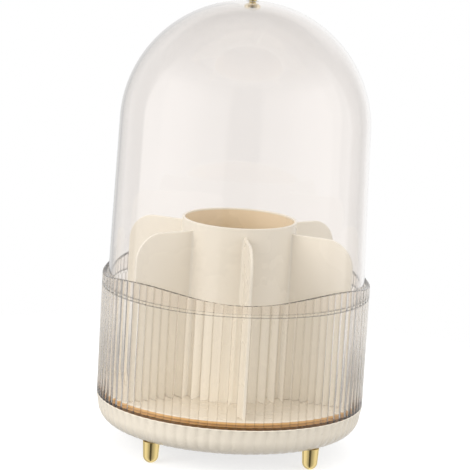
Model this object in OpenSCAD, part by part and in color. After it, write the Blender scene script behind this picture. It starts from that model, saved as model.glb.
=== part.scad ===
// Round desk organizer for brushes and make-up: a divided turntable inside a clear
// reeded barrel, closed by a lift-off clear dome, on a reeded bowl with four turned feet.
// Z is up, the origin is under the middle at the level of the feet, the front is at -Y.

/* [Base bowl] */
// Outside radius over the reeds, at the rim
base_r = 92.5; // [88:0.5:98]
// Height from the underside to the rim
base_h = 20; // [20:0.5:24]
// Radius of the rounded lower edge
base_round = 13.3; // [11:0.1:13.5]
// How far the wall pulls in between the rim and the rounded edge
base_lean = 1.2; // [0.6:0.1:1.8]
// Thickness of the wall
base_wall = 2.8; // [2.6:0.1:3.2]
// Thickness of the floor
base_floor = 2.5; // [2:0.1:3]
// Number of reeds round the base
base_reeds = 75; // [60:1:84]
// Depth of the grooves between the reeds of the base
base_reed_depth = 0.7; // [0.4:0.1:0.9]
// Width of the plain bevel above the reeds
base_bevel = 0.6; // [0.4:0.1:0.9]

/* [Feet] */
// How far the middle of a foot stands in from the rim of the base
foot_in = 16; // [15.5:0.5:24]
// Height of a foot below the base
foot_h = 15; // [12:0.5:22]
// Radius of a foot at its top
foot_r = 5.9; // [5:0.1:7]
// Radius of the rounded lower end of a foot
foot_tip_r = 5.3; // [4.5:0.1:5.8]
// Radius of the small flat that a foot stands on
foot_flat_r = 2; // [1.5:0.1:3]
// Radius of the thread of a foot screw
foot_screw_r = 1.7; // [1.5:0.1:2]
// How far a foot screw reaches into its foot
foot_screw_reach = 8; // [6:0.5:9]
// Height of the boss that a foot's screw pulls on
foot_boss_h = 0.6; // [0.4:0.1:1]

/* [Clear barrel] */
// Height of the rim above the base, half way between its crests and dips
rim_h = 87; // [84:0.5:96]
// Height of the rim's wave above and below that
rim_wave = 2.9; // [2:0.1:4]
// Number of waves round the rim
rim_waves = 4; // [3:1:6]
// Thickness of the wall over its reeds
barrel_wall = 3.1; // [2.9:0.1:3.4]
// Number of reeds round the barrel
barrel_reeds = 92; // [80:1:100]
// Depth of the grooves between the reeds of the barrel
barrel_reed_depth = 0.5; // [0.3:0.1:0.6]
// Height of the dome's seat above the base
seat_h = 78; // [75:0.5:79]
// Width of the seat, which stands in from the wall
seat_w = 2.9; // [2.6:0.1:3.1]
// Thickness of the seat
seat_t = 2; // [1.6:0.1:2.6]
// How far the barrel's skirt reaches down into the base
skirt_h = 5; // [4:0.5:5]
// Thickness of the skirt
skirt_t = 1.4; // [1.2:0.1:1.5]
// How far the snap bead stands out from the skirt
snap_bead = 0.4; // [0.3:0.05:0.5]

/* [Dome] */
// How much narrower the dome is at its round top than at its foot
dome_taper = 2.7; // [1.5:0.1:3]
// Height of the tapered wall below the round top
dome_wall_h = 112; // [100:1:125]
// Thickness of the dome
dome_t = 2; // [1.8:0.1:2.2]
// Gap between the foot of the dome and the barrel
dome_gap = 0.8; // [0.6:0.1:1]

/* [Knob] */
// Radius of the ball of the knob
knob_r = 6.5; // [5:0.1:9]
// Radius of the neck under the ball
knob_neck_r = 2.8; // [2.6:0.1:3.2]
// Radius of the neck's waist, right under the ball
knob_waist_r = 2.2; // [1.9:0.1:2.4]
// Height of the neck below the ball
knob_neck_h = 2.4; // [2:0.1:4]
// Radius of the thread of the knob's screw
knob_screw_r = 1.5; // [1.2:0.1:1.6]
// How far the knob's screw reaches into the knob
knob_screw_reach = 8; // [6:0.5:9]
// Radius of the washer under the dome
knob_washer_r = 4.5; // [3.8:0.1:6]
// Thickness of the washer under the dome
knob_washer_t = 1; // [0.8:0.1:1.5]

/* [Divider] */
// Height of the middle tube
tube_h = 121.4; // [118:0.5:124]
// Outside radius of the tube at its top
tube_r = 39.5; // [36:0.5:42]
// How much narrower the outside of the tube is at its foot; the bore is straight
tube_taper = 0.5; // [0.2:0.1:0.6]
// Thickness of the tube's wall at its top
tube_wall = 1.9; // [1.6:0.1:2.4]
// Number of vanes round the tube
vane_count = 6; // [4:1:8]
// Height of the vanes
vane_h = 115.4; // [100:0.5:117]
// Gap between a vane's outer edge and the seat of the dome
vane_gap = 2.5; // [1.5:0.1:6]
// Thickness of a vane
vane_t = 1.9; // [1.6:0.1:2.4]
// Radius of a vane's outer top corner
vane_corner_r = 19; // [10:0.5:24]
// Angle that the divider stands turned from the front
divider_turn = 3.5; // [-30:0.5:30]
// Distance from the middle to a vane's clip
clip_r = 66; // [60:1:72]
// Length of a clip along its vane
clip_l = 14; // [8:1:16]

/* [Turntable] */
// Gap between the turntable's edge and the barrel
tray_gap = 1.4; // [1.2:0.1:1.8]
// Thickness of the turntable's plate
tray_t = 2.2; // [2:0.1:3]
// Height of the turntable's top above the rim of the base
tray_rise = 4.6; // [4:0.1:6]
// Height of the raised edge of the turntable
tray_lip_h = 0.5; // [0.3:0.1:0.8]
// Width of the raised edge of the turntable
tray_lip_w = 1.6; // [1:0.1:2]
// How far the turntable's skirt hangs below its plate
tray_skirt_h = 8; // [6:0.5:9]
// Distance between the turntable's skirt and its edge
tray_skirt_in = 2; // [1.5:0.1:3]
// Thickness of the turntable's skirt and ribs
tray_rib_t = 1.8; // [1.4:0.1:2.4]
// Depth of the ribs under the plate
tray_rib_h = 3; // [2:0.5:4]
// Number of ribs under the plate between two vanes
tray_ribs = 2; // [1:1:3]

/* [Bearing] */
// Diameter of a ball
ball_d = 6; // [5:0.5:7]
// Number of balls
ball_count = 12; // [6:1:18]
// Radius of the circle that the balls run on
ball_circle_r = 45; // [40:0.5:50]
// Width of the tracks that the balls run in
race_w = 8; // [7.5:0.5:10]
// Gap between the two tracks
race_gap = 2; // [1.6:0.1:2.4]
// Thickness of the cage that spaces the balls
cage_t = 1.2; // [0.8:0.1:1.3]
// Gap between a ball and its tracks
ball_gap = 0.1; // [0.05:0.01:0.15]
// Gap between a ball and its pocket in the cage
pocket_gap = 0.15; // [0.1:0.01:0.3]

/* [Pivot] */
// Radius of the turntable's spigot
spigot_r = 4; // [3.5:0.1:5]
// Running gap between the spigot and its bush
spigot_gap = 0.05; // [0.02:0.01:0.08]
// Thickness of the bush's wall
bush_wall = 1.95; // [1.5:0.05:3]
// Radius of the bush's flange
bush_flange_r = 8.5; // [7.5:0.5:10]
// Thickness of the bush's flange
bush_flange_t = 1; // [0.8:0.1:1.5]
// Outside radius of the base's hub
hub_r = 11.5; // [11:0.5:13]
// Gap between the bush's flange and the turntable's plate
hub_gap = 2.4; // [1:0.1:3]
// Depth of the recess under the hub
recess_h = 5.5; // [5:0.1:6.5]
// Radius of the recess under the hub
recess_r = 9.5; // [9:0.1:10]
// Radius of the pivot washer
pivot_washer_r = 8; // [7:0.1:8.5]
// Thickness of the pivot washer
pivot_washer_t = 1; // [0.8:0.1:1.4]
// Gap between the pivot washer and the hub
washer_gap = 0.2; // [0.1:0.05:0.3]
// Radius of the thread of the pivot screw
pivot_screw_r = 1.7; // [1.4:0.1:2]
// How far the pivot screw reaches into the spigot
pivot_screw_reach = 10; // [8:0.5:12]

/* [Hidden] */

// Fine and coarse roundness of the exact surfaces
fine = 180;
coarse = 48;
// Facets across one reed
reed_steps = 4;
// Clearance of parts that stand still against each other
seat_gap = 0.2;
// Clearance of a screw in the thread that it is driven into
thread_gap = 0.05;
// Clearance of a screw in a hole that it passes through
screw_gap = 0.3;
// Gap between two faces that touch
touch_gap = 0.05;
// Small chamfer on plain edges
edge_soft = 0.5;
// Overlap that joins two shapes of one moulding
bite = 1;
// Amount by which a cutter stands past the face that it cuts
past = 1;

// Screw heads, from the radius of their thread
head_ratio = 2;
head_h_ratio = 1.3;
// Four feet, the first at the front left
foot_count = 4;
first_foot_a = 225;

// Levels, all above the floor that the feet stand on
rim_z = foot_h + base_h;
base_floor_z = foot_h + base_floor;
seat_z = rim_z + seat_h;
dome_z = seat_z + dome_wall_h;
tray_z = rim_z + tray_rise;
tray_under_z = tray_z - tray_t;
hub_z = tray_under_z - hub_gap - bush_flange_t;
recess_z = foot_h + recess_h;
ball_z = (base_floor_z + tray_under_z) / 2;

// Radii that follow from the base outwards in
barrel_r = base_r;
barrel_in_r = barrel_r - barrel_wall;
seat_in_r = barrel_in_r - seat_w;
base_turn_r = base_r - base_lean;
base_flat_r = base_turn_r - base_round;
base_in_r = base_r - base_wall;
skirt_r = base_in_r - seat_gap;
skirt_in_r = skirt_r - skirt_t;
dome_foot_r = barrel_in_r - dome_gap;
dome_r = dome_foot_r - dome_taper;
apex_z = dome_z + dome_r;
vane_reach = seat_in_r - vane_gap;
tray_r = barrel_in_r - tray_gap;
tray_skirt_r = tray_r - tray_skirt_in;
foot_circle_r = base_r - foot_in;
foot_boss_r = foot_screw_r * head_ratio + bite;
foot_boss_z = base_floor_z + foot_boss_h;
tube_foot_r = tube_r - tube_taper;
tube_bore_r = tube_r - tube_wall;
spigot_bore_r = spigot_r + spigot_gap;
bush_r = spigot_bore_r + bush_wall;
spigot_end_z = recess_z - washer_gap;

// Colours
cream = [0.93, 0.90, 0.83];
clear = [0.90, 0.88, 0.86, 0.35];
gold = [0.86, 0.66, 0.28];
steel = [0.72, 0.73, 0.75];
acetal = [0.95, 0.95, 0.93];

// The point at radius r, angle a and height z
function polar(r, a, z) = [r * cos(a), r * sin(a), z];

// Depth of a groove, from 1 between two reeds to 0 on a reed's crest
function groove(t) = 1 - sin(180 * t);

// One closed loop round a reeded wall; rise adds to its height by angle
function reeded_loop(r, z, depth, reeds) = [
    for (i = [0 : reeds * reed_steps - 1])
        let (t = (i % reed_steps) / reed_steps, a = 360 * i / (reeds * reed_steps))
        polar(r - depth * groove(t), a, z)
];

// One closed loop of the barrel's wavy rim, drop below its highest line
function rim_loop(r, depth, drop) = [
    for (i = [0 : barrel_reeds * reed_steps - 1])
        let (t = (i % reed_steps) / reed_steps, a = 360 * i / (barrel_reeds * reed_steps))
        polar(r - depth * groove(t), a, rim_z + rim_h - rim_wave * cos(rim_waves * (a + 90)) - drop)
];

// Triangles of the band between two neighbouring loops of n points
function band(upper, lower, n) = [
    for (j = [0 : n - 1])
        let (k = (j + 1) % n)
        each [
            [upper * n + j, upper * n + k, lower * n + k],
            [upper * n + j, lower * n + k, lower * n + j]
        ]
];

// A solid bounded by loops from the top down and by a flat cap at each end
module stacked_loops(loops) {
    n = len(loops[0]);
    last = len(loops) - 1;
    polyhedron(
        points = [for (l = loops) each l],
        faces = concat(
            [[for (j = [n - 1 : -1 : 0]) j]],
            [for (i = [0 : last - 1]) each band(i, i + 1, n)],
            [[for (j = [0 : n - 1]) last * n + j]]
        )
    );
}

// A ring bounded by loops that run down its outside and up its inside
module ring_of_loops(loops) {
    n = len(loops[0]);
    count = len(loops);
    polyhedron(
        points = [for (l = loops) each l],
        faces = [for (i = [0 : count - 1]) each band(i, (i + 1) % count, n)]
    );
}

// A plain ring from radius r1 to r2, standing on z
module collar(r1, r2, z, h) {
    translate([0, 0, z]) rotate_extrude($fn = fine) translate([r1, 0]) square([r2 - r1, h]);
}

// A pan-head screw pointing up, with the underside of its head at the origin
module screw(r, reach) {
    union() {
        translate([0, 0, -r * head_h_ratio])
            cylinder(r = r * head_ratio, h = r * head_h_ratio, $fn = coarse);
        translate([0, 0, -bite]) cylinder(r = r, h = reach + bite, $fn = coarse);
    }
}

// Repeats a shape on the feet's circle
module at_foot(i) {
    rotate([0, 0, first_foot_a + i * 360 / foot_count]) translate([foot_circle_r, 0, 0]) children();
}

// --- Base bowl ---------------------------------------------------------------------

rounding_rows = 6;
reeds_end = 0.25;

// Reeded outside of the bowl as a solid block, from the bevel down round the lower edge
module base_block() {
    turn_z = foot_h + base_round;
    rounding = [
        for (i = [0 : rounding_rows])
            let (a = 90 * i / rounding_rows, fade = min(1, (1 - i / rounding_rows) / reeds_end))
            reeded_loop(
                base_flat_r + base_round * cos(a), turn_z - base_round * sin(a),
                base_reed_depth * fade, base_reeds
            )
    ];
    stacked_loops(concat(
        [reeded_loop(base_r - base_bevel / 2, rim_z, 0, base_reeds)],
        [reeded_loop(base_r, rim_z - base_bevel, 0, base_reeds)],
        [reeded_loop(base_r, rim_z - 2 * base_bevel, base_reed_depth, base_reeds)],
        rounding
    ));
}

// Hollow of the bowl, which follows the outside one wall thickness in, with a ledge
// under the barrel's skirt
module base_hollow() {
    in_round = base_round - base_floor;
    in_r = base_turn_r - base_wall;
    turn_z = base_floor_z + in_round;
    ledge_z = rim_z - skirt_h - seat_gap;
    rotate_extrude($fn = fine) union() {
        translate([0, base_floor_z]) square([in_r - in_round, in_round + past]);
        translate([0, turn_z]) square([in_r, rim_z + past - turn_z]);
        translate([0, ledge_z]) square([base_in_r, rim_z + past - ledge_z]);
        intersection() {
            translate([in_r - in_round, turn_z]) circle(r = in_round, $fn = fine);
            translate([in_r - in_round, base_floor_z - past])
                square([in_round + past, in_round + past]);
        }
    }
}

// Bead round the barrel's skirt; grown by the seat gap it cuts the groove that takes it
module snap_ring(grow) {
    translate([0, 0, rim_z - skirt_h + snap_bead * 2]) rotate_extrude($fn = fine) polygon([
        [skirt_r - bite, -grow], [skirt_r, -grow],
        [skirt_r + snap_bead + grow, snap_bead - grow / 2],
        [skirt_r + snap_bead + grow, snap_bead * 2 + grow / 2],
        [skirt_r, snap_bead * 3 + grow], [skirt_r - bite, snap_bead * 3 + grow]
    ]);
}

// Recess and bore for the pivot, cut from below
module pivot_bore() {
    translate([0, 0, foot_h - past]) cylinder(r = recess_r, h = recess_h + past, $fn = fine);
    translate([0, 0, foot_h]) cylinder(r = bush_r, h = hub_z - foot_h + past, $fn = fine);
}

// Holes for the feet's screws
module foot_holes() {
    for (i = [0 : foot_count - 1]) at_foot(i) translate([0, 0, foot_h - past])
        cylinder(r = foot_screw_r + screw_gap, h = base_h, $fn = coarse);
}

// Track that the balls run in, cut into a wall on either side of them
module ball_track() {
    translate([0, 0, ball_z]) rotate_extrude($fn = fine)
        translate([ball_circle_r, 0]) circle(r = ball_d / 2 + ball_gap, $fn = coarse);
}

module base_bowl() {
    color(cream) union() {
        difference() {
            base_block();
            base_hollow();
            snap_ring(seat_gap);
            pivot_bore();
            foot_holes();
        }
        difference() {
            translate([0, 0, base_floor_z - bite])
                cylinder(r = hub_r, h = hub_z - base_floor_z + bite, $fn = fine);
            pivot_bore();
        }
        difference() {
            collar(
                ball_circle_r - race_w / 2, ball_circle_r + race_w / 2,
                base_floor_z - bite, ball_z - race_gap / 2 - base_floor_z + bite
            );
            ball_track();
        }
        difference() {
            for (i = [0 : foot_count - 1]) at_foot(i) translate([0, 0, base_floor_z - bite])
                cylinder(r = foot_boss_r, h = foot_boss_h + bite, $fn = coarse);
            foot_holes();
        }
    }
}

// --- Feet --------------------------------------------------------------------------

// Turned bullet foot standing on the floor, with a threaded hole in its top
module foot() {
    flat_a = asin(foot_flat_r / foot_tip_r);
    tip_z = foot_tip_r * cos(flat_a);
    arc = [
        for (i = [0 : 12])
            let (a = flat_a + (90 - flat_a) * i / 12)
            [foot_tip_r * sin(a), tip_z - foot_tip_r * cos(a)]
    ];
    color(gold) difference() {
        rotate_extrude($fn = coarse)
            polygon(concat([[0, 0]], arc, [[foot_r, foot_h], [0, foot_h]]));
        translate([0, 0, foot_h - foot_screw_reach - past])
            cylinder(
                r = foot_screw_r + thread_gap, h = foot_screw_reach + 2 * past, $fn = coarse
            );
    }
}

module foot_front_left() { at_foot(0) foot(); }
module foot_front_right() { at_foot(1) foot(); }
module foot_back_right() { at_foot(2) foot(); }
module foot_back_left() { at_foot(3) foot(); }

module foot_screws() {
    color(steel) for (i = [0 : foot_count - 1]) at_foot(i)
        translate([0, 0, foot_boss_z]) mirror([0, 0, 1])
            screw(foot_screw_r, foot_screw_reach + foot_boss_z - foot_h);
}

// --- Clear barrel ------------------------------------------------------------------

rim_soft = 0.7;

module clear_barrel() {
    color(clear) difference() {
        union() {
            ring_of_loops([
                rim_loop(barrel_r - rim_soft, barrel_reed_depth, 0),
                rim_loop(barrel_r, barrel_reed_depth, rim_soft),
                reeded_loop(barrel_r, rim_z, barrel_reed_depth, barrel_reeds),
                reeded_loop(barrel_in_r, rim_z, 0, barrel_reeds),
                rim_loop(barrel_in_r, 0, rim_soft),
                rim_loop(barrel_in_r + rim_soft, 0, 0)
            ]);
            collar(seat_in_r, barrel_in_r + bite, seat_z - seat_t, seat_t);
            collar(skirt_in_r, skirt_r, rim_z - skirt_h, skirt_h + bite);
            snap_ring(0);
        }
        translate([0, 0, rim_z - skirt_h - past])
            cylinder(r = skirt_in_r, h = skirt_h + past + bite, $fn = fine);
    }
}

// --- Dome --------------------------------------------------------------------------

// Half outline of the dome, drawn in by t
module dome_outline(t, low) {
    intersection() {
        union() {
            translate([0, dome_z]) circle(r = dome_r - t, $fn = fine);
            polygon([
                [0, low], [dome_foot_r - t, low], [dome_r - t, dome_z], [0, dome_z]
            ]);
        }
        translate([0, low]) square([dome_foot_r, dome_wall_h + dome_r + past]);
    }
}

module clear_dome() {
    color(clear) difference() {
        rotate_extrude($fn = fine) dome_outline(0, seat_z);
        rotate_extrude($fn = fine) dome_outline(dome_t, seat_z - past);
        translate([0, 0, apex_z - dome_t - past])
            cylinder(r = knob_screw_r + screw_gap, h = dome_t + 2 * past, $fn = coarse);
    }
}

// --- Knob --------------------------------------------------------------------------

module dome_knob() {
    foot_z = apex_z + touch_gap;
    neck_a = asin(knob_waist_r / knob_r);
    ball_low = knob_r * cos(neck_a);
    arc = [
        for (i = [0 : 16])
            let (a = neck_a + (180 - neck_a) * i / 16)
            [knob_r * sin(a), knob_neck_h + ball_low - knob_r * cos(a)]
    ];
    color(gold) translate([0, 0, foot_z]) difference() {
        rotate_extrude($fn = coarse) polygon(concat([[0, 0], [knob_neck_r, 0]], arc));
        translate([0, 0, -past])
            cylinder(
                r = knob_screw_r + thread_gap, h = knob_screw_reach + 2 * past, $fn = coarse
            );
    }
}

// Level of the washer's top, which touches the hollow of the dome with its edge
washer_sag = (dome_r - dome_t) - sqrt(pow(dome_r - dome_t, 2) - pow(knob_washer_r, 2));
knob_washer_z = apex_z - dome_t - washer_sag - touch_gap;

module knob_washer() {
    color(acetal) translate([0, 0, knob_washer_z - knob_washer_t]) difference() {
        cylinder(r = knob_washer_r, h = knob_washer_t, $fn = coarse);
        translate([0, 0, -past])
            cylinder(
                r = knob_screw_r + thread_gap, h = knob_washer_t + 2 * past, $fn = coarse
            );
    }
}

module knob_screw() {
    color(steel) translate([0, 0, knob_washer_z - knob_washer_t])
        screw(knob_screw_r, apex_z - knob_washer_z + knob_washer_t + knob_screw_reach);
}

// --- Turntable ---------------------------------------------------------------------

module turntable() {
    race_low = ball_z + race_gap / 2;
    rib_count = vane_count * tray_ribs;
    rib_in_r = bush_flange_r + bite;
    color(cream) difference() {
        union() {
            translate([0, 0, tray_under_z]) rotate_extrude($fn = fine) polygon([
                [0, 0], [tray_r - edge_soft, 0], [tray_r, edge_soft],
                [tray_r, tray_t], [tray_r - tray_lip_w / 3, tray_t + tray_lip_h],
                [tray_r - tray_lip_w * 2 / 3, tray_t + tray_lip_h],
                [tray_r - tray_lip_w, tray_t], [0, tray_t]
            ]);
            collar(
                tray_skirt_r - tray_rib_t, tray_skirt_r,
                tray_under_z - tray_skirt_h, tray_skirt_h + bite
            );
            collar(
                ball_circle_r - race_w / 2, ball_circle_r + race_w / 2,
                race_low, tray_under_z - race_low + bite
            );
            translate([0, 0, spigot_end_z])
                cylinder(r = spigot_r, h = tray_under_z - spigot_end_z + bite, $fn = fine);
            for (i = [0 : rib_count - 1])
                rotate([0, 0, divider_turn - 90 + (i + 0.5) * 360 / rib_count])
                    translate([rib_in_r, -tray_rib_t / 2, tray_under_z - tray_rib_h])
                        cube([
                            tray_skirt_r - tray_rib_t / 2 - rib_in_r,
                            tray_rib_t, tray_rib_h + bite
                        ]);
        }
        ball_track();
        translate([0, 0, spigot_end_z - past])
            cylinder(
                r = pivot_screw_r + thread_gap, h = pivot_screw_reach + 2 * past,
                $fn = coarse
            );
        at_vanes() translate([
            clip_r - clip_l / 2 - seat_gap, -vane_t / 2 - seat_gap, tray_under_z - past
        ])
            cube([clip_l + 2 * seat_gap, vane_t + 2 * seat_gap, tray_t + 2 * past]);
    }
}

// --- Divider -----------------------------------------------------------------------

// Repeats a shape that lies along +X once for each vane, the first towards the front
module at_vanes() {
    for (i = [0 : vane_count - 1])
        rotate([0, 0, divider_turn - 90 + i * 360 / vane_count]) children();
}

// Upright outline of a vane with its rounded outer top corner
module vane_outline() {
    corner = [
        for (i = [0 : 16])
            let (a = 90 * i / 16)
            [
                vane_reach - vane_corner_r * (1 - cos(a)),
                vane_h - vane_corner_r * (1 - sin(a))
            ]
    ];
    in_r = (tube_bore_r + tube_foot_r) / 2;
    polygon(concat([[in_r, 0], [vane_reach, 0]], corner, [[in_r, vane_h]]));
}

module divider() {
    clip_h = tray_t - seat_gap;
    color(cream) difference() {
        union() {
            translate([0, 0, tray_z]) rotate_extrude($fn = fine) polygon([
                [0, 0], [tube_foot_r, 0], [tube_r, tube_h - edge_soft],
                [tube_r - edge_soft, tube_h], [0, tube_h]
            ]);
            at_vanes() translate([0, 0, tray_z]) rotate([90, 0, 0])
                linear_extrude(vane_t, center = true) vane_outline();
            at_vanes() translate([clip_r - clip_l / 2, -vane_t / 2, tray_z - clip_h])
                cube([clip_l, vane_t, clip_h + bite]);
        }
        translate([0, 0, tray_z - past])
            cylinder(r = tube_bore_r, h = tube_h + 2 * past, $fn = fine);
    }
}

// --- Pivot and bearing -------------------------------------------------------------

module pivot_bush() {
    color(acetal) difference() {
        union() {
            translate([0, 0, recess_z])
                cylinder(r = bush_r, h = hub_z - recess_z + bush_flange_t, $fn = fine);
            translate([0, 0, hub_z])
                cylinder(r = bush_flange_r, h = bush_flange_t, $fn = fine);
        }
        translate([0, 0, recess_z - past])
            cylinder(
                r = spigot_bore_r, h = hub_z + bush_flange_t - recess_z + 2 * past, $fn = fine
            );
    }
}

module pivot_washer() {
    color(steel) translate([0, 0, spigot_end_z - pivot_washer_t]) difference() {
        cylinder(r = pivot_washer_r, h = pivot_washer_t, $fn = fine);
        translate([0, 0, -past])
            cylinder(
                r = pivot_screw_r + thread_gap, h = pivot_washer_t + 2 * past, $fn = coarse
            );
    }
}

module pivot_screw() {
    color(steel) translate([0, 0, spigot_end_z - pivot_washer_t])
        screw(pivot_screw_r, pivot_washer_t + pivot_screw_reach);
}

module at_balls() {
    for (i = [0 : ball_count - 1])
        rotate([0, 0, i * 360 / ball_count]) translate([ball_circle_r, 0, ball_z]) children();
}

module ball_cage() {
    color(acetal) difference() {
        collar(
            ball_circle_r - race_w / 2 - bite, ball_circle_r + race_w / 2 + bite,
            ball_z - cage_t / 2, cage_t
        );
        at_balls() translate([0, 0, -past - cage_t / 2])
            cylinder(r = ball_d / 2 + pocket_gap, h = cage_t + 2 * past, $fn = coarse);
    }
}

module bearing_balls() {
    color(steel) at_balls() sphere(d = ball_d, $fn = coarse);
}

base_bowl();
foot_front_left();
foot_front_right();
foot_back_right();
foot_back_left();
foot_screws();
clear_barrel();
clear_dome();
dome_knob();
knob_screw();
knob_washer();
turntable();
divider();
pivot_bush();
pivot_washer();
pivot_screw();
ball_cage();
bearing_balls();
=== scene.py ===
# %% [markdown]
# # A round brush organizer under a clear dome
#
# The object is a desk organizer: a divided turntable stands in a clear reeded barrel, the
# barrel stands on a cream bowl with four gold feet, and a clear dome closes it. The CAD model
# gives every size, so this file measures the CAD pieces first and then models each visible
# piece again, finer, in the same place.

# %% Load the CAD frame
import math

import bmesh
import bpy
import numpy as np
from mathutils import Matrix, Vector


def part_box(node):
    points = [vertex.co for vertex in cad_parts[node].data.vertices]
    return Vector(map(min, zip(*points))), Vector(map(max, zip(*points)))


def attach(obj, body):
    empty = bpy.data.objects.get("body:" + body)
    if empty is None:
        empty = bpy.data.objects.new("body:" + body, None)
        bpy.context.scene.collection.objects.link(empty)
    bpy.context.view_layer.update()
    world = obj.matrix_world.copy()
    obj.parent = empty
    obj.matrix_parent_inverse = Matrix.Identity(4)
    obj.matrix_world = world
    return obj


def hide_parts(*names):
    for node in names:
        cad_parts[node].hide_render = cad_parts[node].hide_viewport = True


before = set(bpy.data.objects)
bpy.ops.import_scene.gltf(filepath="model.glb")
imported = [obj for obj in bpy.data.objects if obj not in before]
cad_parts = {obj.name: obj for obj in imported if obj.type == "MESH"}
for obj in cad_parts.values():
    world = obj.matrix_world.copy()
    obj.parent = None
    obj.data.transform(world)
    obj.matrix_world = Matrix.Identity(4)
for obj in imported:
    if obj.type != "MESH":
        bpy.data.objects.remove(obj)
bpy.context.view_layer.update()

# %% [markdown]
# ## Measuring the CAD pieces
#
# Every piece is round about the Z axis or stands on it, so a radius, a bottom and a top say
# where it is. They are read from the frame. Only small sizes that a box can't show, such as
# a wall or the depth of a reed, are written here as numbers, in millimetres.

# %% Radii and levels from the frame
MM = 0.001


def round_size(node):
    """Radius, bottom and top of a CAD piece that is round about the Z axis."""
    low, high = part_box(node)
    return max(high[0], -low[0]), low[2], high[2]


base_r, base_low, base_top = round_size("base_bowl")
_, skirt_low, crest_z = round_size("clear_barrel")
barrel_r = base_r
dome_foot_r, seat_z, dome_top = round_size("clear_dome")
tray_r, _, tray_lip_z = round_size("turntable")
knob_r, knob_low, knob_high = round_size("dome_knob")
divider_low, divider_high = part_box("divider")
tube_top = divider_high[2]
print("base radius %.1f mm, barrel crest %.1f mm, dome top %.1f mm" % (
    base_r / MM, crest_z / MM, dome_top / MM))

# %% [markdown]
# ## Camera
#
# A long lens from a little above the rim shows the wave of the rim as a shallow curve. The
# camera stands on a circle round the middle of the barrel's lower edge. It is rolled a little,
# so the object leans, and it is then tilted up until the whole object is in the square frame.
# A shifted lens would do the same, but it would push the object aside in every other view.

# %% Camera
CAMERA_DISTANCE = 1.8
CAMERA_LIFT = math.radians(14.47)
CAMERA_SIDE = math.radians(-3.31)
CAMERA_ROLL = math.radians(3.38)
CAMERA_TILT = math.radians(3.56)
CAMERA_PAN = math.radians(-0.123)
LENS_PIXELS = 2577
FRAME_PIXELS = 470
SENSOR_MM = 36
CLIP_START = 0.05
CLIP_END = 20


def add_camera():
    """Camera on a circle round a point, rolled about its own axis and then tilted up."""
    aim = Vector((0, 0, base_top))
    away = Vector((
        math.cos(CAMERA_LIFT) * math.sin(CAMERA_SIDE),
        -math.cos(CAMERA_LIFT) * math.cos(CAMERA_SIDE),
        math.sin(CAMERA_LIFT),
    ))
    camera = bpy.data.objects.new("camera", bpy.data.cameras.new("camera"))
    turn = away.to_track_quat("Z", "Y").to_matrix().to_4x4()
    roll = Matrix.Rotation(CAMERA_ROLL, 4, "Z")
    tilt = Matrix.Rotation(CAMERA_TILT, 4, "X") @ Matrix.Rotation(CAMERA_PAN, 4, "Y")
    stand = Matrix.Translation(aim + away * CAMERA_DISTANCE)
    camera.matrix_world = stand @ turn @ roll @ tilt
    camera.data.sensor_width = SENSOR_MM
    camera.data.lens = LENS_PIXELS / FRAME_PIXELS * SENSOR_MM
    camera.data.clip_start = CLIP_START
    camera.data.clip_end = CLIP_END
    bpy.context.scene.collection.objects.link(camera)
    bpy.context.scene.camera = camera
    return camera


camera = add_camera()
print("camera lens %.0f mm" % camera.data.lens)

# %% [markdown]
# ## Skins from loops of points
#
# Every large piece here is a wall that runs round the Z axis. Its cross-section is a closed
# line of (radius, height) points, and the skin is that line carried round in steps. A plain
# revolve would do for the dome, but the reeds and the wavy rim change with the angle, so the
# helper takes a function of the angle for each point of the line.

# %% Mesh helpers
def skin_object(name, bm):
    """A smooth-shaded object from a bmesh, with its normals turned outwards."""
    bmesh.ops.recalc_face_normals(bm, faces=bm.faces)
    mesh = bpy.data.meshes.new(name)
    bm.to_mesh(mesh)
    bm.free()
    mesh.shade_smooth()
    piece = bpy.data.objects.new(name, mesh)
    bpy.context.scene.collection.objects.link(piece)
    return piece


def mesh_object(name, verts, faces):
    """A smooth-shaded mesh object from points and faces."""
    mesh = bpy.data.meshes.new(name)
    mesh.from_pydata([tuple(v) for v in verts], [], faces)
    bm = bmesh.new()
    bm.from_mesh(mesh)
    bpy.data.meshes.remove(mesh)
    return skin_object(name, bm)


def even_angles(columns):
    """Angles at equal steps round the axis."""
    return np.arange(columns) * 2 * np.pi / columns


def ring_skin(name, loops, angles):
    """A closed wall round Z. Each loop is (radius, height), numbers or functions of the angle."""
    columns = len(angles)
    grid = []
    for radius, height in loops:
        r = radius(angles) if callable(radius) else np.full(columns, radius)
        z = height(angles) if callable(height) else np.full(columns, height)
        grid.append(np.stack([r * np.cos(angles), r * np.sin(angles), z], axis=1))
    rows = len(grid)
    faces = []
    for i in range(rows):
        k = (i + 1) % rows
        for j in range(columns):
            m = (j + 1) % columns
            faces.append((i * columns + j, k * columns + j, k * columns + m, i * columns + m))
    return mesh_object(name, np.concatenate(grid), faces)


def softened(points, radius, steps=3, before=None, after=None):
    """A (r, z) line with its corners rounded and the arcs held by extra points.

    The line is closed, or runs between two neighbour points that are given.
    """
    out = []
    line = [before or points[-1]] + list(points) + [after or points[0]]
    for last, corner, following in zip(line, line[1:], line[2:]):
        here = Vector(corner[:2])
        soft = corner[2] if len(corner) > 2 else radius
        back = Vector(last[:2]) - here
        ahead = Vector(following[:2]) - here
        turn = back.angle(ahead, math.pi)
        if soft <= 0 or turn > math.radians(172):
            out.append(tuple(here))
            continue
        reach = min(soft / math.tan(turn / 2), 0.45 * back.length, 0.45 * ahead.length)
        start = here + back.normalized() * reach
        end = here + ahead.normalized() * reach
        out.append(tuple(here + back.normalized() * min(1.35 * reach, 0.49 * back.length)))
        for s in range(steps + 1):
            t = s / steps
            point = start * (1 - t) ** 2 + here * 2 * t * (1 - t) + end * t * t
            out.append(tuple(point))
        out.append(tuple(here + ahead.normalized() * min(1.35 * reach, 0.49 * ahead.length)))
    return out


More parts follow.
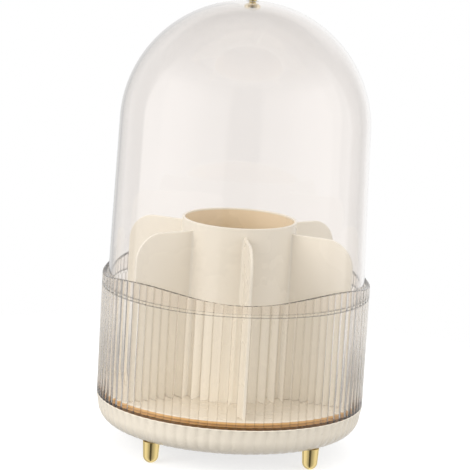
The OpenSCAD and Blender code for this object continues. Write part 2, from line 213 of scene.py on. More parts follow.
def arc(cx, cz, r, start_deg, end_deg, steps):
    """Points of an arc in the (r, z) plane, marked with a rounding of 0 so they stay put."""
    turns = np.radians(np.linspace(start_deg, end_deg, steps + 1))
    return [(cx + r * math.cos(a), cz + r * math.sin(a), 0) for a in turns]


# %% [markdown]
# ## Reeds
#
# A reed is a shallow convex rib: seen from above, the wall is a row of small arches. With t
# from 0 to 1 across one reed, the wall of the bowl lies below the top of a reed by the reed
# depth times 1 - sin(180 t). The barrel uses the square root of that sine. Its reeds are
# flatter on top and turn sharply into the groove, so their points crowd together there.
# Real geometry is used and not a bump, because in clear plastic each reed is a lens and must
# bend what is behind it.

# %% Reed functions
BASE_REEDS = 75
BARREL_REEDS = 92
BASE_REED_DEPTH = 0.7 * MM
BARREL_REED_DEPTH = 0.6 * MM
STEPS_PER_REED = 10
BARREL_ROUNDNESS = 0.5
BARREL_STEPS = (0, 0.03, 0.08, 0.17, 0.32, 0.5, 0.68, 0.83, 0.92, 0.97)


def reeded(radius, depth, reeds, roundness=1):
    """Radius of a reeded wall as a function of the angle."""
    def at(angles):
        t = (angles * reeds / (2 * np.pi)) % 1
        return radius - depth * (1 - np.abs(np.sin(np.pi * t)) ** roundness)
    return at


def barrel_reeded(radius, depth):
    """Radius of the barrel's reeded wall as a function of the angle."""
    return reeded(radius, depth, BARREL_REEDS, BARREL_ROUNDNESS)


def barrel_angles():
    """Angles round the barrel, crowded at the grooves."""
    starts = np.arange(BARREL_REEDS)[:, None]
    return (starts + np.array(BARREL_STEPS)).ravel() * 2 * np.pi / BARREL_REEDS


# %% [markdown]
# ## The cream bowl
#
# The bowl is one moulding. Its cross-section goes down the reeded outside, round the lower
# edge, along the underside to the hub, up the hub, over the ball track and back up the inside
# to the rim. The reeds fade out before the flat underside, and a plain bevel ends them at the
# rim.

# %% Base bowl
BASE_ROUND = 13.3 * MM
BASE_LEAN = 1.2 * MM
BASE_WALL = 2.8 * MM
BASE_FLOOR = 2.5 * MM
BEVEL = 0.6 * MM
HUB_R = 11.5 * MM
HUB_BORE_R = 6.0 * MM
RECESS_R = 9.5 * MM
RECESS_H = 5.5 * MM
TRACK_R = 45.0 * MM
TRACK_HALF = 4.0 * MM
SKIRT_H = 5.0 * MM
EDGE = 0.4 * MM
ROUND_ROWS = 14

hub_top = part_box("pivot_bush")[1][2] - 1.0 * MM
ball_z = (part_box("ball_cage")[0][2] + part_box("ball_cage")[1][2]) / 2


def base_reed_rows():
    """Rows of the reeded outside, from the bevel to the end of the rounding."""
    turn_r = base_r - BASE_LEAN
    flat_r = turn_r - BASE_ROUND
    turn_z = base_low + BASE_ROUND
    rows = [
        (base_r - BEVEL, base_top),
        (base_r - BEVEL / 2, base_top - BEVEL * 0.15),
        (base_r - BEVEL * 0.1, base_top - BEVEL * 0.6),
        (base_r, base_top - BEVEL),
        (reeded(base_r, BASE_REED_DEPTH * 0.6, BASE_REEDS), base_top - BEVEL * 1.4),
        (reeded(base_r, BASE_REED_DEPTH, BASE_REEDS), base_top - BEVEL * 2),
    ]
    for i in range(ROUND_ROWS + 1):
        a = math.radians(90 * i / ROUND_ROWS)
        fade = min(1, (1 - i / ROUND_ROWS) / 0.25)
        depth = BASE_REED_DEPTH * math.sin(fade * math.pi / 2)
        radius = flat_r + BASE_ROUND * math.cos(a)
        rows.append((reeded(radius, depth, BASE_REEDS), turn_z - BASE_ROUND * math.sin(a)))
    return rows


def base_inside_rows():
    """Rows of the underside, hub, ball track, floor and inner wall, back to the rim."""
    floor_z = base_low + BASE_FLOOR
    in_round = BASE_ROUND - BASE_FLOOR
    in_r = base_r - BASE_LEAN - BASE_WALL
    rim_in_r = base_r - BASE_WALL
    wall_z = ball_z - 1.0 * MM
    ledge_z = base_top - SKIRT_H - 0.2 * MM
    groove = 3.1 * MM
    groove_a = math.degrees(math.asin(1.0 * MM / groove))
    line = [
        (RECESS_R, base_low), (RECESS_R, base_low + RECESS_H),
        (HUB_BORE_R, base_low + RECESS_H), (HUB_BORE_R, hub_top),
        (HUB_R, hub_top), (HUB_R, floor_z), (TRACK_R - TRACK_HALF, floor_z),
        (TRACK_R - TRACK_HALF, wall_z),
    ]
    line += arc(TRACK_R, ball_z, groove, 180 + groove_a, 360 - groove_a, 10)
    line += [(TRACK_R + TRACK_HALF, wall_z), (TRACK_R + TRACK_HALF, floor_z)]
    line += arc(in_r - in_round, floor_z + in_round, in_round, 270, 360, 8)
    line += [(in_r, ledge_z), (rim_in_r, ledge_z), (rim_in_r, base_top)]
    flat_end = (base_r - BASE_LEAN - BASE_ROUND, base_low)
    return softened(line, EDGE, before=flat_end, after=(base_r - BEVEL, base_top))


base = ring_skin("bowl_moulding", base_reed_rows() + base_inside_rows(),
                 even_angles(BASE_REEDS * STEPS_PER_REED))
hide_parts("base_bowl")
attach(base, "root")
print("bowl:", len(base.data.polygons), "faces,", BASE_REEDS, "reeds")

# %% [markdown]
# ## The clear barrel
#
# The barrel is a reeded tube with a rim that rises and falls four times. Inside, close under
# the rim, a narrow seat stands in from the wall and carries the dome, and below the wall a
# thin skirt drops into the bowl. Only the reeds take their radius from the angle, and only the
# rim's points take their height from it.

# %% Clear barrel
BARREL_WALL = 3.1 * MM
RIM_WAVE = 2.9 * MM
RIM_WAVES = 4
SEAT_W = 2.9 * MM
SEAT_T = 2.0 * MM
SKIRT_GAP = 0.2 * MM
SKIRT_T = 1.4 * MM
RIM_SOFT = 0.35 * MM
RIM_HOLD = 0.3 * MM
BARREL_EDGE = 0.3 * MM

barrel_in_r = barrel_r - BARREL_WALL
rim_mean_z = crest_z - RIM_WAVE


def rim_level(drop):
    """Height of the wavy rim, lowered by drop, as a function of the angle."""
    return lambda angles: (
        rim_mean_z - RIM_WAVE * np.cos(RIM_WAVES * (angles + np.pi / 2)) - drop
    )


def barrel_rows():
    """Closed cross-section: up the reeded outside, over the rim, down the inside."""
    reeds = barrel_reeded(barrel_r, BARREL_REED_DEPTH)
    rows = [
        (barrel_reeded(barrel_r - 0.15 * MM, BARREL_REED_DEPTH), base_top),
        (reeds, base_top + 0.15 * MM),
        (reeds, base_top + 0.6 * MM),
        (reeds, rim_level(RIM_SOFT + RIM_HOLD)),
    ]
    for i in range(7):
        a = math.radians(90 * i / 6)
        radius = barrel_r - RIM_SOFT * (1 - math.cos(a))
        depth = BARREL_REED_DEPTH * math.cos(a)
        rows.append((barrel_reeded(radius, depth), rim_level(RIM_SOFT * (1 - math.sin(a)))))
    for i in range(7):
        a = math.radians(90 * i / 6)
        radius = barrel_in_r + RIM_SOFT * (1 - math.sin(a))
        rows.append((radius, rim_level(RIM_SOFT * (1 - math.cos(a)))))
    rows.append((barrel_in_r, rim_level(RIM_SOFT + RIM_HOLD)))
    skirt_r = base_r - BASE_WALL - SKIRT_GAP
    shoulder_z = base_top + 1.0 * MM
    line = [
        (barrel_in_r, seat_z), (barrel_in_r - SEAT_W, seat_z),
        (barrel_in_r - SEAT_W, seat_z - SEAT_T), (barrel_in_r, seat_z - SEAT_T),
        (barrel_in_r, shoulder_z), (skirt_r - SKIRT_T, shoulder_z),
        (skirt_r - SKIRT_T, skirt_low), (skirt_r, skirt_low),
        (skirt_r, base_top),
    ]
    above = (barrel_in_r, seat_z + SEAT_T)
    return rows + softened(line, BARREL_EDGE, before=above, after=(barrel_r, base_top))


barrel = ring_skin("barrel_moulding", barrel_rows(), barrel_angles())
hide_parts("clear_barrel")
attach(barrel, "root")
print("barrel:", len(barrel.data.polygons), "faces,", BARREL_REEDS, "reeds")

# %% [markdown]
# ## The clear dome
#
# The dome is a tapered tube closed by half a sphere, two millimetres thick, with a small hole
# on top for the knob's screw. Both skins are modelled, because the light that crosses the
# wall at the sides is what draws the dark outline of a clear shell.

# %% Clear dome
DOME_TAPER = 2.7 * MM
DOME_T = 2.0 * MM
DOME_HOLE_R = 1.8 * MM
DOME_EDGE = 0.3 * MM
DOME_COLUMNS = 256
DOME_ARC_ROWS = 56

dome_r = dome_foot_r - DOME_TAPER
dome_centre_z = dome_top - dome_r


def dome_rows():
    """Closed cross-section of the dome: outside up to the hole, inside down again."""
    inner_r = dome_r - DOME_T
    outer_end = math.degrees(math.acos(DOME_HOLE_R / dome_r))
    inner_end = math.degrees(math.acos(DOME_HOLE_R / inner_r))
    line = [(dome_foot_r - DOME_T, seat_z, DOME_EDGE), (dome_foot_r, seat_z, DOME_EDGE)]
    line += arc(0, dome_centre_z, dome_r, 0, outer_end, DOME_ARC_ROWS)
    line += arc(0, dome_centre_z, inner_r, inner_end, 0, DOME_ARC_ROWS)
    return softened(line, DOME_EDGE)


dome = ring_skin("dome_moulding", dome_rows(), even_angles(DOME_COLUMNS))
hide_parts("clear_dome")
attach(dome, "dome")
print("dome:", len(dome.data.polygons), "faces")

# %% [markdown]
# ## Turned metal: feet and knob
#
# The feet are turned bullets, a little narrower at the round tip, and the knob is a ball on a
# waisted neck. A lathe cuts such parts from a bar, and here the same profile is carried round
# the axis of each foot.

# %% Feet
FOOT_NODES = ["foot_front_left", "foot_front_right", "foot_back_right", "foot_back_left"]
FOOT_TIP_R = 5.3 * MM
FOOT_FLAT_R = 2.0 * MM
FOOT_EDGE = 0.35 * MM
TURNED_COLUMNS = 72


def turned(name, profile, centre, columns=TURNED_COLUMNS):
    """A solid of revolution about a vertical axis; the profile starts and ends on the axis."""
    angles = even_angles(columns)
    verts = [(centre[0], centre[1], profile[0][1])]
    for r, z in profile[1:-1]:
        verts += [(centre[0] + r * math.cos(a), centre[1] + r * math.sin(a), z) for a in angles]
    verts.append((centre[0], centre[1], profile[-1][1]))
    rows = len(profile) - 2
    last = len(verts) - 1
    faces = []
    for j in range(columns):
        k = (j + 1) % columns
        faces.append((0, 1 + k, 1 + j))
        for i in range(rows - 1):
            a = 1 + i * columns
            b = a + columns
            faces.append((a + j, a + k, b + k, b + j))
        a = 1 + (rows - 1) * columns
        faces.append((last, a + j, a + k))
    return mesh_object(name, verts, faces)


def foot_profile(low, high, top_r):
    """Profile of a foot from its tip to its top, on the axis at both ends."""
    flat_a = math.asin(FOOT_FLAT_R / FOOT_TIP_R)
    centre_z = low + FOOT_TIP_R * math.cos(flat_a)
    points = [(0, low), (FOOT_FLAT_R * 0.8, low)]
    for i in range(15):
        a = flat_a + (math.pi / 2 - flat_a) * i / 14
        points.append((FOOT_TIP_R * math.sin(a), centre_z - FOOT_TIP_R * math.cos(a)))
    points += [
        (top_r - 0.03 * MM, high - FOOT_EDGE * 1.6), (top_r, high - FOOT_EDGE),
        (top_r - FOOT_EDGE * 0.3, high - FOOT_EDGE * 0.3), (top_r - FOOT_EDGE, high),
        (top_r - FOOT_EDGE * 2, high), (0, high),
    ]
    return points


feet = []
for node_name in FOOT_NODES:
    low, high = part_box(node_name)
    middle = ((low[0] + high[0]) / 2, (low[1] + high[1]) / 2)
    foot = turned("bullet_" + node_name, foot_profile(low[2], high[2], (high[0] - low[0]) / 2),
                  middle)
    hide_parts(node_name)
    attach(foot, "root")
    feet.append(foot)
print("feet:", len(feet))

# %% Knob
NECK_R = 2.8 * MM
WAIST_R = 2.2 * MM


def knob_profile():
    """Neck flare, waist and ball of the knob."""
    neck_a = math.asin(WAIST_R / knob_r)
    centre_z = knob_high - knob_r
    waist_z = centre_z - knob_r * math.cos(neck_a)
    points = [(0, knob_low), (NECK_R - 0.2 * MM, knob_low), (NECK_R, knob_low + 0.2 * MM)]
    for i in range(1, 9):
        t = i / 9
        points.append((
            WAIST_R + (NECK_R - WAIST_R) * (1 - t) ** 2,
            knob_low + 0.2 * MM + (waist_z - knob_low - 0.2 * MM) * t,
        ))
    for i in range(33):
        a = neck_a + (math.pi - neck_a) * i / 33
        points.append((knob_r * math.sin(a), centre_z - knob_r * math.cos(a)))
    points.append((0, knob_high))
    return points


knob = turned("ball_knob", knob_profile(), (0, 0), 96)
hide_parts("dome_knob")
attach(knob, "dome")
print("knob top at %.1f mm" % (knob_high / MM))

# %% [markdown]
# ## The divider
#
# A middle tube and six upright vanes are one moulding. Here the tube, the vanes, the small
# fillets in the corners between them and the clips that reach down into the turntable are
# made apart and then united, so the result is one closed skin. Each vane is an outline with a
# rounded top corner, given a thickness, with its edges rounded by a few inset loops.

# %% Divider helpers
TUBE_TAPER = 0.5 * MM
TUBE_WALL = 1.9 * MM
VANES = 6
VANE_T = 1.9 * MM
VANE_EDGE = 0.55 * MM
VANE_CORNER_R = 19 * MM
VANE_DROP = 6.0 * MM
VANE_GAP = 2.5 * MM
DIVIDER_TURN = math.radians(3.5)
FILLET_R = 1.6 * MM
CLIP_R = 66 * MM
CLIP_L = 14 * MM
EDGE_STEPS = 3
TUBE_COLUMNS = 192

tray_top = tray_lip_z - 0.5 * MM
tray_under = divider_low[2]
tube_r = 39.5 * MM
tube_bore_r = tube_r - TUBE_WALL
vane_top = tube_top - VANE_DROP
vane_reach = barrel_in_r - SEAT_W - VANE_GAP


def closed_prism(bm, loops):
    """Faces of a stack of closed loops of equal length, with a flat end at both sides."""
    rings = [[bm.verts.new(point) for point in loop] for loop in loops]
    count = len(rings[0])
    for upper, lower in zip(rings, rings[1:]):
        for j in range(count):
            k = (j + 1) % count
            bm.faces.new((upper[j], upper[k], lower[k], lower[j]))
    bm.faces.new(list(reversed(rings[0])))
    bm.faces.new(rings[-1])


# %% Vanes
def inset(outline, amount):
    """An outline moved inwards by an amount, corner by corner; it runs counter-clockwise."""
    out = []
    count = len(outline)
    for i, here in enumerate(outline):
        back = (here - outline[i - 1]).normalized()
        ahead = (outline[(i + 1) % count] - here).normalized()
        normal = Vector((-back.y - ahead.y, back.x + ahead.x)).normalized()
        out.append(here + normal * amount / max(normal.dot(Vector((-back.y, back.x))), 0.3))
    return out


def vane_outline():
    """Upright outline of a vane in (x, z), from its root in the tube's wall outwards."""
    root = (tube_bore_r + tube_r - TUBE_TAPER) / 2
    corner = []
    for i in range(15):
        a = math.radians(90 * i / 14)
        corner.append(Vector((
            vane_reach - VANE_CORNER_R * (1 - math.cos(a)),
            vane_top - VANE_CORNER_R * (1 - math.sin(a)),
        )))
    foot = [Vector((root, tray_top)), Vector((vane_reach, tray_top))]
    return foot + corner + [Vector((root, vane_top))]


def add_vane(bm, turn):
    """One vane with rounded edges, turned to its place."""
    outline = vane_outline()
    half = VANE_T / 2
    loops = []
    steps = [(-half, VANE_EDGE * 1.4), (-half, VANE_EDGE)]
    for i in range(1, EDGE_STEPS + 1):
        a = math.radians(90 * i / EDGE_STEPS)
        steps.append((-half + VANE_EDGE * (1 - math.cos(a)), VANE_EDGE * (1 - math.sin(a))))
    steps += [(-y, amount) for y, amount in reversed(steps)]
    for y, amount in steps:
        loops.append([turn @ Vector((p.x, y, p.y)) for p in inset(outline, amount)])
    closed_prism(bm, loops)


# %% Fillets between vanes and tube
def add_fillet(bm, turn, side):
    """The concave corner between a vane and the tube, as a thin upright prism."""
    levels = [tray_top + 0.1 * MM, vane_top - VANE_EDGE - FILLET_R, vane_top - VANE_EDGE]
    loops = []
    for level in levels:
        share = (level - tray_top) / (tube_top - tray_top)
        wall_r = tube_r - TUBE_TAPER * (1 - share)
        soft = FILLET_R if level < levels[-1] else 0.2 * MM
        half = VANE_T / 2
        bury = 0.3 * MM
        centre = Vector((math.sqrt((wall_r + soft) ** 2 - (half + soft) ** 2), half + soft))
        start = math.atan2(-centre.y, -centre.x) + 2 * math.pi
        end = math.radians(270)
        points = [Vector((wall_r - 2 * bury, half - bury)), Vector((centre.x, half - bury))]
        for i in range(6):
            a = end + (start - end) * i / 5
            points.append(centre + Vector((math.cos(a), math.sin(a))) * soft)
        points.append(points[-1] * (1 - bury / points[-1].length))
        loops.append([turn @ Vector((p.x, side * p.y, level)) for p in points])
    closed_prism(bm, loops if side > 0 else [list(reversed(loop)) for loop in loops])


# %% Uniting closed skins
def unite(piece, others):
    """Join closed skins into the first one, and remove the others."""
    for other in others:
        joint = piece.modifiers.new("unite", "BOOLEAN")
        joint.operation = "UNION"
        joint.solver = "MANIFOLD"
        joint.object = other
    depsgraph = bpy.context.evaluated_depsgraph_get()
    mesh = bpy.data.meshes.new_from_object(piece.evaluated_get(depsgraph))
    piece.modifiers.clear()
    old = piece.data
    piece.data = mesh
    bpy.data.meshes.remove(old)
    for other in others:
        bpy.data.objects.remove(other)
    mesh.shade_smooth()


def even_shading(piece, angle=35):
    """Flat faces stay flat next to small rounded edges: normals are weighted by face size."""
    piece.data.set_sharp_from_angle(angle=math.radians(angle))
    weighting = piece.modifiers.new("even shading", "WEIGHTED_NORMAL")
    weighting.mode = "FACE_AREA"
    weighting.weight = 100
    weighting.keep_sharp = True


# %% Divider
def tube_rows():
    """Closed cross-section of the middle tube, open at both ends."""
    foot_r = tube_r - TUBE_TAPER
    return softened([
        (tube_bore_r, tray_top, 0.2 * MM), (foot_r, tray_top, 0.2 * MM),
        (tube_r, tube_top, 0.6 * MM), (tube_bore_r, tube_top, 0.6 * MM),
    ], 0.5 * MM, 4)


divider = ring_skin("divider_moulding", tube_rows(), even_angles(TUBE_COLUMNS))
vanes_bm = bmesh.new()
fillets_bm = bmesh.new()
clips_bm = bmesh.new()
for i in range(VANES):
    turn = Matrix.Rotation(DIVIDER_TURN - math.pi / 2 + i * 2 * math.pi / VANES, 3, "Z")
    add_vane(vanes_bm, turn)
    for side in (1, -1):
        add_fillet(fillets_bm, turn, side)
    half = VANE_T / 2 - 0.05 * MM
    corners = [
        (CLIP_R - CLIP_L / 2, -half), (CLIP_R + CLIP_L / 2, -half),
        (CLIP_R + CLIP_L / 2, half), (CLIP_R - CLIP_L / 2, half),
    ]
    closed_prism(clips_bm, [
        [turn @ Vector((x, y, level)) for x, y in corners]
        for level in (tray_top + 1.0 * MM, tray_under + 0.2 * MM)
    ])
unite(divider, [
    skin_object("vanes", vanes_bm),
    skin_object("fillets", fillets_bm),
    skin_object("clips", clips_bm),
])
even_shading(divider)
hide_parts("divider")
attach(divider, "turntable")
print("divider:", len(divider.data.polygons), "faces, vanes reach %.1f mm" % (vane_reach / MM))

# %% [markdown]
# ## Shared effects as node groups
#
# Moulded plastic is never perfectly flat or even. It sinks a little over ribs, carries the
# fine grain of the tool and varies slightly in tone, and handled gloss has faint smears where
# it is less shiny. These effects are wanted in several materials at different strengths, so
# each is a node group with named inputs. A group only puts out values; the shader itself
# stays in the material.

# %% Node group helpers
# A Mix node has sockets for numbers, vectors and colours. These are the colour ones.
COLOR_A, COLOR_B, COLOR_OUT = 6, 7, 2


def new_group(name, inputs, outputs):
    """An empty shader node group with float inputs (name: value) and named outputs."""
    tree = bpy.data.node_groups.new(name, "ShaderNodeTree")
    for label, value in inputs.items():
        socket = tree.interface.new_socket(label, in_out="INPUT", socket_type="NodeSocketFloat")
        socket.default_value = value
    for label, kind in outputs.items():
        tree.interface.new_socket(label, in_out="OUTPUT", socket_type=kind)
    return tree, tree.nodes.new("NodeGroupInput"), tree.nodes.new("NodeGroupOutput")


def place_group(tree, group, values):
    """A node that uses a group, with its inputs set."""
    node = tree.nodes.new("ShaderNodeGroup")
    node.node_tree = group
    for label, value in values.items():
        node.inputs[label].default_value = value
    return node


def feed(tree, value, socket):
    """Link a socket to another one, or give it a plain value."""
    if isinstance(value, bpy.types.NodeSocket):
        tree.links.new(value, socket)
    else:
        socket.default_value = value


def math_node(tree, operation, first, second=0.0):
    """A math node; each operand is a number or a socket."""
    node = tree.nodes.new("ShaderNodeMath")
    node.operation = operation
    feed(tree, first, node.inputs[0])
    feed(tree, second, node.inputs[1])
    return node.outputs[0]


def noise_node(tree, place, scale, detail):
    """A noise texture in object space; the scale is a number or a socket."""
    node = tree.nodes.new("ShaderNodeTexNoise")
    node.inputs["Detail"].default_value = detail
    tree.links.new(place, node.inputs["Vector"])
    feed(tree, scale, node.inputs["Scale"])
    return node.outputs["Fac"]


def smooth_ramp(tree, value, ends, levels=(0, 1)):
    """A level that changes smoothly from the first to the second between two ends."""
    node = tree.nodes.new("ShaderNodeMapRange")
    node.interpolation_type = "SMOOTHSTEP"
    feed(tree, value, node.inputs["Value"])
    for label, part in zip(("From Min", "From Max", "To Min", "To Max"), (*ends, *levels)):
        feed(tree, part, node.inputs[label])
    return node.outputs["Result"]


def mix_colors(tree, share, first, second):
    """A colour between two others; each is a socket or four numbers."""
    node = tree.nodes.new("ShaderNodeMix")
    node.data_type = "RGBA"
    feed(tree, share, node.inputs["Factor"])
    feed(tree, first, node.inputs[COLOR_A])
    feed(tree, second, node.inputs[COLOR_B])
    return node.outputs[COLOR_OUT]


# %% Moulded surface: a height made of slow waves and fine grain
def moulded_surface():
    """Height of a moulded skin: slow waves plus a fine grain."""
    tree, inputs, outputs = new_group(
        "moulded surface",
        {"Wave Scale": 18, "Wave": 1.0, "Grain Scale": 900, "Grain": 0.1},
        {"Height": "NodeSocketFloat"},
    )
    place = tree.nodes.new("ShaderNodeTexCoord").outputs["Object"]
    waves = noise_node(tree, place, inputs.outputs["Wave Scale"], detail=1.0)
    grain = noise_node(tree, place, inputs.outputs["Grain Scale"], detail=2.0)
    wave_part = math_node(tree, "MULTIPLY", waves, inputs.outputs["Wave"])
    grain_part = math_node(tree, "MULTIPLY", grain, inputs.outputs["Grain"])
    tree.links.new(math_node(tree, "ADD", wave_part, grain_part), outputs.inputs["Height"])
    return tree


# %% Handling marks: a roughness that is a little higher in faint smears
PATCH_EDGE = (0.4, 0.68)


def handling_marks():
    """Roughness between a clean and a smeared value, by soft patches."""
    tree, inputs, outputs = new_group(
        "handling marks",
        {"Patch Scale": 30, "Clean": 0.2, "Smeared": 0.3},
        {"Roughness": "NodeSocketFloat"},
    )
    place = tree.nodes.new("ShaderNodeTexCoord").outputs["Object"]
    patches = noise_node(tree, place, inputs.outputs["Patch Scale"], detail=4.0)
    levels = (inputs.outputs["Clean"], inputs.outputs["Smeared"])
    tree.links.new(smooth_ramp(tree, patches, PATCH_EDGE, levels), outputs.inputs["Roughness"])
    return tree


# %% Colour variation: two close tones in soft clouds
def soft_tones():
    """Colour between two close tones, by soft clouds."""
    tree, inputs, outputs = new_group(
        "soft tones", {"Cloud Scale": 9}, {"Color": "NodeSocketColor"}
    )
    for label in ("Tone A", "Tone B"):
        tree.interface.new_socket(label, in_out="INPUT", socket_type="NodeSocketColor")
    place = tree.nodes.new("ShaderNodeTexCoord").outputs["Object"]
    clouds = noise_node(tree, place, inputs.outputs["Cloud Scale"], detail=3.0)
    tone = mix_colors(tree, clouds, inputs.outputs["Tone A"], inputs.outputs["Tone B"])
    tree.links.new(tone, outputs.inputs["Color"])
    return tree


# %% [markdown]
# ### Masks by position
#
# Two more groups put out a mask from where a point lies, for painted shade. One is 1 in a ring
# between two radii and two levels, for painted shade in narrow gaps and where parts meet. The
# other is 1 at each groove of a reeded wall, for a painted shade line where two reeds meet.

# %% Shade of a narrow gap: a mask by radius and height
def gap_shade():
    """1 where a point lies between two radii and between two levels."""
    tree, inputs, outputs = new_group(
        "gap shade",
        {
            "From Radius": 0.08, "To Radius": 0.09, "From Level": 0.02, "To Level": 0.04,
            "Softness": 0.0004,
        },
        {"Shade": "NodeSocketFloat"},
    )
    place = tree.nodes.new("ShaderNodeTexCoord").outputs["Object"]
    axes = tree.nodes.new("ShaderNodeSeparateXYZ")
    tree.links.new(place, axes.inputs[0])
    square_x = math_node(tree, "MULTIPLY", axes.outputs["X"], axes.outputs["X"])
    square_y = math_node(tree, "MULTIPLY", axes.outputs["Y"], axes.outputs["Y"])
    radius = math_node(tree, "SQRT", math_node(tree, "ADD", square_x, square_y))
    tests = [
        math_node(tree, "SUBTRACT", radius, inputs.outputs["From Radius"]),
        math_node(tree, "SUBTRACT", inputs.outputs["To Radius"], radius),
        math_node(tree, "SUBTRACT", axes.outputs["Z"], inputs.outputs["From Level"]),
        math_node(tree, "SUBTRACT", inputs.outputs["To Level"], axes.outputs["Z"]),
    ]
    shade = None
    for depth in tests:
        result = smooth_ramp(tree, depth, (0, inputs.outputs["Softness"]))
        shade = result if shade is None else math_node(tree, "MULTIPLY", shade, result)
    tree.links.new(shade, outputs.inputs["Shade"])
    return tree


# %% Groove shade: a mask for painted shade along the grooves of a reeded wall
def groove_shade_mask():
    """1 at each groove of a wall with a number of reeds, 0 over the rest of the reed."""
    tree, inputs, outputs = new_group(
        "groove shade mask", {"Reeds": 92, "Half Width": 0.1}, {"Line": "NodeSocketFloat"}
    )
    place = tree.nodes.new("ShaderNodeTexCoord").outputs["Object"]
    axes = tree.nodes.new("ShaderNodeSeparateXYZ")
    tree.links.new(place, axes.inputs[0])
    angle = math_node(tree, "ARCTAN2", axes.outputs["Y"], axes.outputs["X"])
    share = math_node(tree, "DIVIDE", angle, 2 * math.pi)
    reeds_passed = math_node(tree, "MULTIPLY", share, inputs.outputs["Reeds"])
    along = math_node(tree, "FRACT", reeds_passed)
    off_ridge = math_node(tree, "ABSOLUTE", math_node(tree, "SUBTRACT", along, 0.5))
    line_start = math_node(tree, "SUBTRACT", 0.5, inputs.outputs["Half Width"])
    tree.links.new(smooth_ramp(tree, off_ridge, (line_start, 0.5)), outputs.inputs["Line"])
    return tree


# %% Make the groups
MOULDED_SURFACE = moulded_surface()
HANDLING_MARKS = handling_marks()
SOFT_TONES = soft_tones()
GAP_SHADE = gap_shade()
GROOVE_SHADE_MASK = groove_shade_mask()
GROUPS = (MOULDED_SURFACE, HANDLING_MARKS, SOFT_TONES, GAP_SHADE, GROOVE_SHADE_MASK)
print("node groups:", [group.name for group in GROUPS])

# %% [markdown]
# ## Materials
#
# Each material is a Principled BSDF that takes its tone, roughness and bump from the first
# three groups. Colours are written for plain light, at which a surface renders about as its
# colour says.

# %% Material helper
PLASTIC_IOR = 1.5


def principled(name, tones, roughness, waves, grain, bump):
    """A Principled material fed by the first three groups. Returns (material, shader)."""
    material = bpy.data.materials.new(name)
    material.use_nodes = True
    tree = material.node_tree
    shader = tree.nodes["Principled BSDF"]
    tone = place_group(tree, SOFT_TONES, {"Tone A": (*tones[0], 1), "Tone B": (*tones[1], 1)})
    marks = place_group(tree, HANDLING_MARKS, {"Clean": roughness[0], "Smeared": roughness[1]})
    surface = place_group(tree, MOULDED_SURFACE, {
        "Wave Scale": waves[0], "Wave": waves[1], "Grain Scale": grain[0], "Grain": grain[1],
    })
    relief = tree.nodes.new("ShaderNodeBump")
    relief.inputs["Strength"].default_value = 1
    relief.inputs["Distance"].default_value = bump
    tree.links.new(tone.outputs["Color"], shader.inputs["Base Color"])
    tree.links.new(marks.outputs["Roughness"], shader.inputs["Roughness"])
    tree.links.new(surface.outputs["Height"], relief.inputs["Height"])
    tree.links.new(relief.outputs["Normal"], shader.inputs["Normal"])
    return material, shader


# %% Cream plastic
def cream(name, tones):
    """Glossy cream plastic with a thin coat-like shine."""
    material, shader = principled(
        name, tones, roughness=(0.26, 0.30), waves=(14, 0.6), grain=(1500, 0.02), bump=0.00002,
    )
    shader.inputs["IOR"].default_value = PLASTIC_IOR
    shader.inputs["Coat Weight"].default_value = 0.15
    shader.inputs["Coat Roughness"].default_value = 0.12
    return material


# %% Tones by mask
def tone_by_mask(material, tone, group, values):
    """Mix a tone into a material's colour where a mask group puts out 1."""
    tree = material.node_tree
    shader = tree.nodes["Principled BSDF"]
    plain = shader.inputs["Base Color"].links[0].from_socket
    mask = place_group(tree, group, values).outputs[0]
    tree.links.new(mix_colors(tree, mask, plain, (*tone, 1)), shader.inputs["Base Color"])


def shade_gap(material, tone, radii, levels):
    """Paint shade into a material's colour where little light reaches: narrow gaps and joins."""
    tone_by_mask(material, tone, GAP_SHADE, {
        "From Radius": radii[0], "To Radius": radii[1],
        "From Level": levels[0], "To Level": levels[1], "Softness": SHADE_SOFT,
    })


# %% Cream tones and their painted shade
CREAM_TONES = ((0.85, 0.79, 0.68), (0.87, 0.815, 0.71))
TRAY_TONES = ((0.80, 0.73, 0.61), (0.82, 0.75, 0.64))
BOWL_TONES = ((0.86, 0.775, 0.645), (0.88, 0.80, 0.67))
PAINTED_BORE_SHADE = (0.84, 0.70, 0.50)
AMBER_SHADE = (0.80, 0.47, 0.17)
BROWN_SHADE = (0.24, 0.16, 0.09)
SHADE_SOFT = 0.3 * MM
BORE_SHADE_PAST = 0.5 * MM
BORE_SHADE_DROP = 1 * MM
TRAY_EDGE_W = 0.6 * MM
TRAY_EDGE_DROP = 0.6 * MM
TRAY_UNDER_W = 6 * MM
TRAY_UNDER_PAST = 0.2 * MM
BOWL_SHADE_W = 12 * MM
BOWL_SHADE_H = 10 * MM
RIM_SHADE_H = 0.5 * MM
FAR = 1

cream_plastic = cream("cream_plastic", CREAM_TONES)
# Painted shade: the inside of the middle tube gets a deeper, warmer tone for the light that
# bounces in it.
shade_gap(cream_plastic, PAINTED_BORE_SHADE, (-FAR, tube_bore_r + BORE_SHADE_PAST),
          (0, tube_top - BORE_SHADE_DROP))
cream_tray = cream("cream_tray", TRAY_TONES)
# Painted shade: the tray's outer edge below its lip and the outer part of its underside are amber,
# as they lie in the narrow gap inside the barrel.
shade_gap(cream_tray, AMBER_SHADE, (tray_r - TRAY_EDGE_W, FAR), (0, tray_lip_z - TRAY_EDGE_DROP))
shade_gap(cream_tray, AMBER_SHADE, (tray_r - TRAY_UNDER_W, FAR), (0, tray_under + TRAY_UNDER_PAST))
cream_bowl = cream("cream_bowl", BOWL_TONES)
# Painted shade: the inside of the bowl near its wall, below the tray, is amber.
shade_gap(cream_bowl, AMBER_SHADE, (base_r - BOWL_SHADE_W, base_r - BASE_WALL),
          (base_low + BOWL_SHADE_H, FAR))
